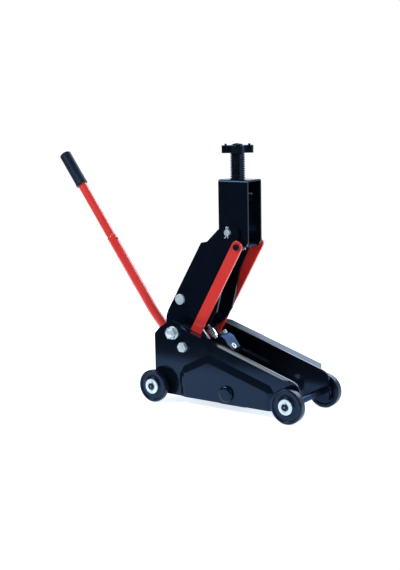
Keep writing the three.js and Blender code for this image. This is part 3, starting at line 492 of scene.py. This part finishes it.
def bake_modifiers(piece):
    """Replaces the object's mesh with what its modifiers make of it."""
    bpy.context.view_layer.update()
    evaluated = piece.evaluated_get(bpy.context.evaluated_depsgraph_get())
    made = bpy.data.meshes.new_from_object(evaluated)
    name, old = piece.data.name, piece.data
    piece.modifiers.clear()
    piece.data = made
    bpy.data.meshes.remove(old)
    made.name = name


def add_piece(name, mesh, body, slot_name, bevel=0.0, segments=3, sharp=35, replaced=()):
    """Makes the object, rounds its edges for real, and hands it to its body and its material slot."""
    data = bpy.data.meshes.new(name)
    mesh.to_mesh(data)
    mesh.free()
    piece = bpy.data.objects.new(name, data)
    bpy.context.scene.collection.objects.link(piece)
    data.materials.append(MATERIALS[slot_name])
    if bevel:
        rounding = piece.modifiers.new("rounded_edges", "BEVEL")
        rounding.width = bevel
        rounding.segments = segments
        rounding.limit_method = "ANGLE"
        rounding.angle_limit = ROUNDED_FROM
        rounding.miter_outer = "MITER_ARC"
        bake_modifiers(piece)
    piece.data.polygons.foreach_set("use_smooth", [True] * len(piece.data.polygons))
    piece.data.set_sharp_from_angle(angle=math.radians(sharp))
    if bevel:
        # Flat faces keep their own normal, and the shading turns only over the rounded edges.
        weighting = piece.modifiers.new("weighted_normals", "WEIGHTED_NORMAL")
        weighting.mode = "FACE_AREA"
        weighting.weight = 100
        weighting.keep_sharp = True
        bake_modifiers(piece)
    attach(piece, body)
    if replaced:
        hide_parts(*replaced)
    return piece


def stand_for(node, mesh, **options):
    return add_piece(node + "_finish", mesh, BODY[node], SLOT[node], replaced=(node,), **options)


def blend_slopes(mesh, width):
    """Rounds the edges where a face slopes gently away, at the foot and the crest of a pressed panel."""
    slopes = []
    for edge in mesh.edges:
        if len(edge.link_faces) == 2 and edge.calc_length() > SHORTEST_SLOPE:
            upright = all(abs(face.normal.y) > 0.9 for face in edge.link_faces)
            if upright and SLOPE_LOW < edge.calc_face_angle() < SLOPE_HIGH:
                slopes.append(edge)
    bmesh.ops.bevel(
        mesh, geom=slopes, offset=width, segments=5, profile=0.5, affect="EDGES", clamp_overlap=False
    )


def refine(node, bevel, blend=0.0):
    """The CAD solid itself with its flat faces made whole again and its edges rounded."""
    mesh = bmesh.new()
    mesh.from_mesh(frame["nodes"][node].data)
    bmesh.ops.remove_doubles(mesh, verts=mesh.verts, dist=1e-6)
    bmesh.ops.dissolve_limit(mesh, angle_limit=math.radians(0.6), verts=mesh.verts, edges=mesh.edges)
    if blend:
        blend_slopes(mesh, blend)
    return stand_for(node, mesh, bevel=bevel)


# ---- Wheels and axles ----------------------------------------------------------------------------
def add_wheel(node):
    """Solid wheel: crowned tread with rounded shoulders, a raised rim ring, a dished web and a hub."""
    side = side_of(node)
    centre, size = middle(node), spread(node)
    radius, width = size.z / 2, size.y
    inner = centre - ACROSS * side * width / 2
    bore, hub = WHEEL_BORE, WHEEL_HUB_RADIUS
    shoulder, crown = 3.2 * MM, 0.35 * MM
    back_dish, back_slope, back_rim = 3 * MM, 2 * MM, 8 * MM
    arc_steps = 6
    arc = [(radius - shoulder - crown, 0)]
    for step in range(1, arc_steps + 1):
        angle = math.pi / 2 * step / arc_steps
        reach = radius - crown - shoulder * (1 - math.sin(angle))
        arc.append((reach, shoulder * (1 - math.cos(angle))))
    profile = [
        (bore, 0),
        (hub, 0),
        (hub + back_slope, back_dish),
        (radius - back_rim - back_slope, back_dish),
        (radius - back_rim, 0),
    ]
    profile += arc + [(radius, width / 2)]
    profile += [(reach, width - height) for reach, height in reversed(arc)]
    profile += [
        (radius - 6 * MM, width),
        (radius - 7.5 * MM, width - 3 * MM),
        (radius - 12 * MM, width - 3.6 * MM),
        (hub + 3.5 * MM, width - 2.6 * MM),
        (hub + 1.5 * MM, width - 0.2 * MM),
        (hub, width),
        (bore, width),
    ]
    mesh = revolve(inner, ACROSS * side, profile, count=96, closed=True)
    stand_for(node, mesh, bevel=0.5 * MM, segments=2)


def add_washer(node):
    """Washer with a chamfer round the side that shows."""
    side = side_of(node)
    centre, size = middle(node), spread(node)
    thick, outer = size.y, size.z / 2
    start = centre - ACROSS * side * thick / 2
    chamfer = 1.5 * MM
    profile = [
        (WASHER_BORE, 0),
        (outer, 0),
        (outer, thick * 0.75),
        (outer - chamfer, thick),
        (WASHER_BORE, thick),
    ]
    stand_for(node, revolve(start, ACROSS * side, profile, closed=True), bevel=0.3 * MM, segments=2)


def add_axle(node):
    """Plain bar with chamfered ends, and a centre drilling and a split pin in each."""
    centre, size = middle(node), spread(node)
    half, radius = size.y / 2, size.z / 2
    chamfer, drill, drill_point = 1.2 * MM, 2.2 * MM, 0.2 * MM
    pin_from_end = 2 * MM
    profile = [
        (drill_point, -half + drill),
        (drill, -half),
        (radius - chamfer, -half),
        (radius, -half + chamfer),
        (radius, half - chamfer),
        (radius - chamfer, half),
        (drill, half),
        (drill_point, half - drill),
    ]
    stand_for(node, revolve(centre, ACROSS, profile, count=48))
    for side, name in ((-1, "right"), (1, "left")):
        place = centre + ACROSS * side * (half - pin_from_end)
        add_split_pin(f"{node}_split_pin_{name}", place, radius, BODY[node])


# ---- Split pins ----------------------------------------------------------------------------------
def split_pin_path(centre, reach, wire):
    """Wire from one spread leg's tip, up through the hole, round the eye and down to the other leg's tip.
    Reach is the radius of the bar that the pin goes through, and wire is the wire's own radius."""
    aside = ACROSS.cross(UP)

    def at(along, height):
        return centre + aside * along + UP * height

    leg = wire * 1.05
    path = [
        at(-reach * 0.95, -reach - wire * 4.5),
        at(-wire * 3.2, -reach - wire * 2.4),
        at(-leg, -reach - wire * 0.3),
        at(-leg, reach - wire),
    ]
    eye, eye_height = wire * 2.1, reach + wire * 2.6
    eye_start, eye_turn, steps = -125, -290, 14
    for step in range(steps + 1):
        angle = math.radians(eye_start + eye_turn * step / steps)
        path.append(at(eye * math.cos(angle), eye_height + eye * math.sin(angle)))
    path += [
        at(leg, reach - wire),
        at(leg, -reach - wire * 0.6),
        at(wire * 1.7, -reach - wire * 4.4),
    ]
    return path


def add_split_pin(name, centre, reach, body, wire=SPLIT_PIN_WIRE, replaced=()):
    mesh = sweep(split_pin_path(centre, reach, wire), wire, sides=10)
    add_piece(name, mesh, body, "zinc", replaced=replaced)


# ---- Nuts, bolts and pins ------------------------------------------------------------------------
def hexagon(flats, angle):
    """Distance from the axis to a hexagon's side, in a direction."""
    within = (angle + math.pi / 6) % (math.pi / 3) - math.pi / 6
    return flats / 2 / math.cos(within)


def nut_mesh(start, outward, flats, height, flange_radius, flange_height, bore):
    """Hexagon nut with both ends chamfered, on a flange if it has one."""
    chamfer, flange_chamfer, face_inset = 1.6 * MM, 1.2 * MM, 0.3 * MM
    step_height = 0.01 * MM
    inscribed, corner = flats / 2, flats / math.sqrt(3)
    if flange_height:
        levels = [0, flange_height * 0.6, flange_height, flange_height + step_height]
        limits = [flange_radius, flange_radius, flange_radius - flange_chamfer, corner * 0.995]
        flange_rings = 3
    else:
        levels = [0, chamfer * 0.6]
        limits = [inscribed, corner]
        flange_rings = 0
    levels += [height - chamfer, height - chamfer * 0.5, height]
    limits += [corner, inscribed + (corner - inscribed) * 0.55, inscribed - face_inset]

    def radius(index, level, angle):
        if index < flange_rings:
            return limits[index]
        return min(hexagon(flats, angle), limits[index])

    return grid_solid(start, outward, levels, radius, count=96, bore=bore)


def add_nut(node, flats, bore, flange_radius=0.0, flange_height=0.0):
    outward = ACROSS * side_of(node)
    thick = spread(node).y
    start = middle(node) - outward * thick / 2
    mesh = nut_mesh(start, outward, flats, thick, flange_radius, flange_height, bore)
    stand_for(node, mesh, sharp=25)


def threaded(level, angle, core, depth, pitch):
    """Distance from the axis to a trapezoidal thread."""
    root, flank = 0.28, 0.36  # shares of half a pitch
    phase = (level / pitch - angle / (2 * math.pi)) % 1.0
    rise = abs(phase - 0.5) * 2
    return core + depth * min(max((rise - root) / flank, 0), 1)


def add_pivot_shaft(node):
    """Shaft with a short thread beyond each nut and chamfered ends."""
    centre, size = middle(node), spread(node)
    half, radius = size.y / 2, size.z / 2
    thread, pitch, depth, chamfer = 4.0 * MM, 1.5 * MM, 0.7 * MM, 1.0 * MM
    plain = half - thread
    steps = 22
    levels = [-half + thread * step / steps for step in range(steps)] + [-plain, plain]
    levels += [plain + thread * step / steps for step in range(1, steps + 1)]

    def reach(index, level, angle):
        if abs(level) <= plain:
            return radius
        end = min((half - abs(level)) / chamfer, 1)
        return min(threaded(level, angle, radius - depth, depth, pitch), radius - chamfer * (1 - end))

    stand_for(node, grid_solid(centre, ACROSS, levels, reach, count=48), sharp=50)


def add_bar_with_heads(node, bar_radius, head_radius, head_height, chamfer=0.8 * MM):
    """Pin right across the jack with the same head at both ends."""
    centre, size = middle(node), spread(node)
    half = size.y / 2
    profile = [
        (head_radius - chamfer, -half),
        (head_radius, -half + chamfer),
        (head_radius, -half + head_height),
        (bar_radius, -half + head_height),
        (bar_radius, half - head_height),
        (head_radius, half - head_height),
        (head_radius, half - chamfer),
        (head_radius - chamfer, half),
    ]
    stand_for(node, revolve(centre, ACROSS, profile, count=64), bevel=0.3 * MM, segments=2)


def add_trunnion_bolt(node):
    """Low domed head on the side plate, with its pin going in to the power unit."""
    outward = ACROSS * side_of(node)
    centre, size = middle(node), spread(node)
    start = centre - outward * size.y / 2
    radius, pin, chamfer = size.z / 2, TRUNNION_PIN_RADIUS, 1 * MM
    seat = size.y - TRUNNION_HEAD_HEIGHT
    skirt = 3.6 * MM
    dome_height, dome_share = TRUNNION_HEAD_HEIGHT - skirt, 0.38
    profile = [(pin - chamfer, 0), (pin, chamfer), (pin, seat), (radius, seat), (radius, seat + skirt)]
    steps = 8
    for step in range(1, steps + 1):
        angle = math.pi / 2 * step / steps
        reach = radius * (1 - dome_share + dome_share * math.cos(angle))
        profile.append((reach, seat + skirt + dome_height * math.sin(angle)))
    stand_for(node, revolve(start, outward, profile, count=72), sharp=40)


def add_link_bolt(node):
    """Shoulder bolt whose low head lies inside the link."""
    outward = ACROSS * side_of(node)
    centre, size = middle(node), spread(node)
    start = centre - outward * size.y / 2
    shank, head = LINK_BOLT_RADIUS, size.z / 2
    head_height, chamfer = 3 * MM, 1 * MM
    profile = [
        (head - chamfer, 0),
        (head, chamfer),
        (head, head_height),
        (shank, head_height),
        (shank, size.y - chamfer),
        (shank - chamfer, size.y),
    ]
    stand_for(node, revolve(start, outward, profile, count=48))


def add_sleeve(node, bore):
    centre, size = middle(node), spread(node)
    half, radius = size.y / 2, size.z / 2
    chamfer = 0.5 * MM
    profile = [
        (bore, -half),
        (radius - chamfer, -half),
        (radius, -half + chamfer),
        (radius, half - chamfer),
        (radius - chamfer, half),
        (bore, half),
    ]
    stand_for(node, revolve(centre, ACROSS, profile, closed=True))


# ---- Links ---------------------------------------------------------------------------------------
def add_link(node):
    """Flat bar with a round end about each pin."""
    centre, thick = middle(node), spread(node).y
    low = pivot("link_swing")
    high = low + (pivot("head_level") - pivot("lift"))
    square = ACROSS.cross(ARM_AXIS).normalized()
    half = LINK_WIDTH / 2
    outline = []
    steps = 28
    for end, turn in ((low, math.pi / 2), (high, -math.pi / 2)):
        for step in range(steps + 1):
            angle = turn + math.pi * step / steps
            outline.append(end + ARM_AXIS * (half * math.cos(angle)) + square * (half * math.sin(angle)))
    mesh = bmesh.new()
    ring = [mesh.verts.new((point.x, centre.y - thick / 2, point.z)) for point in outline]
    face = mesh.faces.new(ring)
    extruded = bmesh.ops.extrude_face_region(mesh, geom=[face])
    moved = [item for item in extruded["geom"] if isinstance(item, bmesh.types.BMVert)]
    bmesh.ops.translate(mesh, verts=moved, vec=ACROSS * thick)
    bmesh.ops.recalc_face_normals(mesh, faces=mesh.faces)
    stand_for(node, mesh, bevel=0.8 * MM)


# ---- Head, screw and saddle ----------------------------------------------------------------------
def add_screw(node):
    """Trapezoidal thread with a keyway down its front, and the boss that passes through the saddle."""
    low, high = (Vector(corner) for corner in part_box(node))
    centre = (low + high) / 2
    radius, length = (high.y - low.y) / 2, high.z - low.z
    core = radius - THREAD_DEPTH
    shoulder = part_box("saddle")[0][2] - SADDLE_GAP - low.z
    rows_per_turn = 12
    rows = int(shoulder / THREAD_PITCH * rows_per_turn)
    levels = [shoulder * row / rows for row in range(rows + 1)]
    thread_rings = len(levels)
    boss_chamfer, run_out = 1.2 * MM, 1.6 * MM
    levels += [shoulder, length - boss_chamfer, length]
    keyway_depth = THREAD_DEPTH * 1.3
    keyway = math.asin(KEYWAY_WIDTH / 2 / radius)
    keyway_direction = math.radians(KEYWAY_DIRECTION)

    def reach(index, level, angle):
        if index >= thread_rings:
            return BOSS_RADIUS - (boss_chamfer if index == len(levels) - 1 else 0)
        value = threaded(level, angle, core, THREAD_DEPTH, THREAD_PITCH)
        away = abs((angle - keyway_direction + math.pi) % (2 * math.pi) - math.pi)
        if away < keyway:
            value = min(value, radius - keyway_depth)
        ends = min(level, shoulder - level) / run_out
        return min(value, core + THREAD_DEPTH * min(ends, 1))

    base = Vector((centre.x, centre.y, low.z))
    stand_for(node, grid_solid(base, UP, levels, reach, count=96), sharp=30)


def add_head_welds():
    """Weld beads of the nut block, seen through the head's open front."""
    low, high = (Vector(corner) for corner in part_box("screw_nut_block"))
    end_inset, wall_inset, rise = 1.2 * MM, 1.4 * MM, 1.3 * MM
    bead_radius, swell, wobble = 1.5 * MM, 0.3 * MM, 0.25 * MM
    steps = 26
    for side, name in ((-1, "right"), (1, "left")):
        wall = high.y if side > 0 else low.y
        path, radii = [], []
        for step in range(steps + 1):
            along = low.x + end_inset + (high.x - low.x - 2 * end_inset) * step / steps
            height = high.z + rise + wobble * math.sin(step * 2.4)
            path.append(Vector((along, wall - side * wall_inset, height)))
            radii.append(bead_radius + swell * math.sin(step * 1.9))
        add_piece(f"nut_block_weld_{name}", sweep(path, radii, 10), BODY["screw_nut_block"], "zinc")


# ---- Power unit ----------------------------------------------------------------------------------
def reach_along(node, origin, direction):
    """Lowest and highest distance of a node's corners from a point, along a direction."""
    values = [(vertex.co - origin).dot(direction) for vertex in frame["nodes"][node].data.vertices]
    return min(values), max(values)


def coil(start, direction, length, radius, wire, turns, per_turn=14):
    """Helical spring of the given length over its wire."""
    first, second = axes_along(direction)
    points = []
    steps = turns * per_turn
    for step in range(steps + 1):
        share = step / steps
        angle = 2 * math.pi * turns * share
        spoke = first * math.cos(angle) + second * math.sin(angle)
        points.append(start + direction * (wire + (length - 2 * wire) * share) + spoke * radius)
    return sweep(points, wire, sides=8)


def add_return_spring(node):
    """Spring beside the cylinder, coiled over the length it has in the CAD model, on a mesh of its own.
    The real spring shortens as the ram goes in.
    """
    centre = middle(node)
    foot = pivot("unit_tilt") + ACROSS * centre.y
    low, high = reach_along(node, foot, RAM_AXIS)
    length = high - low
    start = foot + RAM_AXIS * low
    radius = spread(node).y / 2 - SPRING_WIRE
    mesh = coil(start, RAM_AXIS, length, radius, SPRING_WIRE, turns=78)
    piece = stand_for(node, mesh)
    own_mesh(piece)


def add_pump_spring(node):
    """Spring round the pump plunger, under its cap, coiled over the length it has in the CAD model, on a
    mesh of its own. The real spring shortens with the plunger's stroke.
    """
    low, high = (Vector(corner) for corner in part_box(node))
    length = high.x - low.x
    start = Vector((high.x, 0, (low.z + high.z) / 2))
    radius = (high.z - low.z) / 2 - PUMP_SPRING_WIRE
    mesh = coil(start, Vector((-1, 0, 0)), length, radius, PUMP_SPRING_WIRE, turns=6, per_turn=28)
    piece = add_piece(node + "_finish", mesh, "power_unit", SLOT[node], replaced=(node,))
    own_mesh(piece)


def add_ram(node):
    """Polished rod with a chamfer on its inner end."""
    origin = pivot("unit_tilt")
    low, high = reach_along(node, origin, RAM_AXIS)
    radius, chamfer = spread(node).y / 2, 1 * MM
    profile = [(radius - chamfer, low), (radius, low + chamfer), (radius, high)]
    stand_for(node, revolve(origin, RAM_AXIS, profile, count=64))


def add_tube(node, bore):
    """Cylinder tube with both ends open."""
    origin = pivot("unit_tilt")
    low, high = reach_along(node, origin, RAM_AXIS)
    radius = spread(node).y / 2
    profile = [(bore, low), (radius, low), (radius, high), (bore, high)]
    stand_for(node, revolve(origin, RAM_AXIS, profile, count=72, closed=True), bevel=0.5 * MM)


# ---- Handle --------------------------------------------------------------------------------------
def handle_corner():
    """Where the socket's axis and the handle's own axis meet: the corner of the bend."""
    socket, grip = pivot("handle_twist"), middle("handle_grip")
    across = Vector((-HANDLE_AXIS.z, 0, HANDLE_AXIS.x))
    distance = (grip - socket).dot(across) / SOCKET_AXIS.dot(across)
    return socket + SOCKET_AXIS * distance


def bent_path(corner, low, high, tangent):
    """Route up the socket's axis, round the bend and along the handle."""
    start = corner - SOCKET_AXIS * tangent
    end = corner + HANDLE_AXIS * tangent
    path = [corner - SOCKET_AXIS * low]
    steps = 16
    for step in range(steps + 1):
        share = step / steps
        path.append(start * (1 - share) ** 2 + corner * (2 * share * (1 - share)) + end * share**2)
    path.append(corner + HANDLE_AXIS * high)
    return path


def add_lower_tube(corner):
    """Bent tube from the socket, with a rolled lip at its mouth. Returns how far up the handle it ends."""
    node = "handle_lower_tube"
    _, mouth = reach_along(node, corner, HANDLE_AXIS)
    low = (corner - pivot("handle_twist")).length - LOWER_TUBE_START
    lip, lip_length, lip_height, lip_round = 0.5 * MM, 6 * MM, 1.2 * MM, 0.2 * MM
    path = bent_path(corner, low, mouth - lip_length, BEND_TANGENT)
    radii = [LOWER_TUBE_RADIUS] * len(path)
    path += [corner + HANDLE_AXIS * (mouth - lip_height), corner + HANDLE_AXIS * mouth]
    radii += [LOWER_TUBE_RADIUS + lip, LOWER_TUBE_RADIUS - lip_round]
    stand_for(node, sweep(path, radii, sides=48), sharp=50)
    return mouth


def add_upper_tube(corner, mouth, high):
    """Straight tube whose swaged neck goes in to the lower tube's mouth."""
    swage, steps = 4 * MM, 8
    path = [corner + HANDLE_AXIS * (mouth + rise) for rise in (-NECK_INSERTION, TUBE_GAP)]
    radii = [NECK_RADIUS, NECK_RADIUS]
    for step in range(1, steps + 1):
        share = step / steps
        path.append(corner + HANDLE_AXIS * (mouth + TUBE_GAP + swage * share))
        radii.append(NECK_RADIUS + (UPPER_TUBE_RADIUS - NECK_RADIUS) * math.sin(share * math.pi / 2))
    path.append(corner + HANDLE_AXIS * high)
    radii.append(UPPER_TUBE_RADIUS)
    stand_for("handle_upper_tube", sweep(path, radii, sides=48), sharp=50)


def add_handle():
    corner = handle_corner()
    grip_start, grip_end = reach_along("handle_grip", corner, HANDLE_AXIS)
    grip_wall = 8 * MM
    mouth = add_lower_tube(corner)
    add_upper_tube(corner, mouth, grip_end - grip_wall)
    add_grip(corner, grip_start, grip_end)
    add_snap_button()


def add_grip(corner, start, end):
    """Moulded grip: a lip at its mouth, fine rings over its length and a domed end."""
    radius = spread("handle_grip").y / 2
    length = end - start
    rows = 150
    levels = [length * row / rows for row in range(rows + 1)]
    lip_length, lip_round, inset = 6 * MM, 1.2 * MM, 0.5 * MM
    rings_from, rings_to = 9 * MM, length - 11 * MM
    ring_pitch, ring_depth = 3.1 * MM, 0.22 * MM
    dome, flat_share = 6 * MM, 0.3

    def reach(index, level, angle):
        value = radius - inset
        if rings_from < level < rings_to:
            value -= ring_depth * (0.5 + 0.5 * math.cos(2 * math.pi * level / ring_pitch))
        if level < lip_length:
            value = radius - inset * max(1 - level / lip_round, 0)
        past = level - (length - dome)
        if past > 0:
            curve = math.sqrt(max(1 - (past / dome) ** 2, 0))
            value = radius * flat_share + (radius * (1 - flat_share) - inset) * curve
        return value

    mesh = grid_solid(corner + HANDLE_AXIS * start, HANDLE_AXIS, levels, reach, count=64)
    stand_for("handle_grip", mesh, sharp=60)


def add_snap_button():
    """Domed button that comes out through the side of the lower tube."""
    node = "snap_button"
    outward = -BUTTON_AXIS
    centre = middle(node)
    low, high = reach_along(node, centre, outward)
    radius, dome = BUTTON_RADIUS, BUTTON_RADIUS / 2
    profile = [(radius, low), (radius, high - dome)]
    steps = 6
    for step in range(1, steps + 1):
        angle = math.pi / 2 * step / (steps + 0.5)
        profile.append((radius * math.cos(angle), high - dome * (1 - math.sin(angle))))
    stand_for(node, revolve(centre, outward, profile, count=32))


# ---- Everything in its place ---------------------------------------------------------------------
add_camera()
add_studio()
MATERIALS = make_materials()

for end in ("front", "rear"):
    for side in ("right", "left"):
        add_wheel(f"{end}_wheel_{side}")
        add_washer(f"{end}_washer_{side}")
    add_axle(f"{end}_axle")

for side in ("right", "left"):
    refine(f"side_plate_{side}", PLATE_BEVEL, blend=PANEL_BLEND)
    refine(f"arm_plate_{side}", PLATE_BEVEL)
    add_nut(
        f"arm_pivot_nut_{side}",
        PIVOT_NUT_FLATS,
        PIVOT_NUT_BORE,
        PIVOT_NUT_FLANGE_RADIUS,
        PIVOT_NUT_FLANGE_HEIGHT,
    )
    add_nut(f"link_pivot_nut_{side}", LINK_NUT_FLATS, LINK_BOLT_BORE)
    add_link_bolt(f"link_pivot_bolt_{side}")
    add_sleeve(f"link_spacer_{side}", LINK_BOLT_BORE)
    add_trunnion_bolt(f"trunnion_bolt_{side}")
    add_link(f"link_{side}")
    add_return_spring(f"return_spring_{side}")
    node = f"arm_split_pin_{side}"
    add_split_pin(
        node + "_finish",
        Vector((pivot("head_level").x, middle(node).y, pivot("head_level").z)),
        ARM_TOP_PIN_RADIUS,
        "lift_arm",
        wire=ARM_SPLIT_PIN_WIRE,
        replaced=(node,),
    )

add_pivot_shaft("arm_pivot_shaft")
add_sleeve("arm_pivot_sleeve", PIVOT_SLEEVE_BORE)
add_bar_with_heads("ram_pin", RAM_PIN_RADIUS, RAM_PIN_HEAD_RADIUS, RAM_PIN_HEAD_HEIGHT)
add_bar_with_heads("arm_top_pin", ARM_TOP_PIN_RADIUS, ARM_TOP_PIN_RADIUS, ARM_TOP_PIN_END)
add_bar_with_heads("link_pin", LINK_PIN_RADIUS, LINK_PIN_HEAD_RADIUS, LINK_PIN_HEAD_HEIGHT)
add_split_pin(
    "link_split_pin_finish",
    Vector((middle("link_pin").x, middle("link_split_pin").y, middle("link_pin").z)),
    LINK_PIN_RADIUS,
    "head",
    replaced=("link_split_pin",),
)
add_screw("lifting_screw")
add_head_welds()
refine("saddle", SADDLE_BEVEL)
refine("head_bracket", PLATE_BEVEL)
refine("screw_nut_block", WELDED_BEVEL)
refine("arm_web", WELDED_BEVEL)

refine("power_unit_base", CASTING_BEVEL)
refine("valve_block", VALVE_BLOCK_BEVEL)
for node in (
    "gland_nut",
    "relief_valve_cap",
    "bleed_screw",
    "port_plug",
    "ram_crosshead",
    "release_valve",
    "handle_socket",
    "socket_shaft",
    "pump_plunger",
):
    refine(node, FINE_BEVEL)
add_tube("cylinder_tube", CYLINDER_BORE)
add_ram("ram")
add_pump_spring("pump_spring")
add_handle()
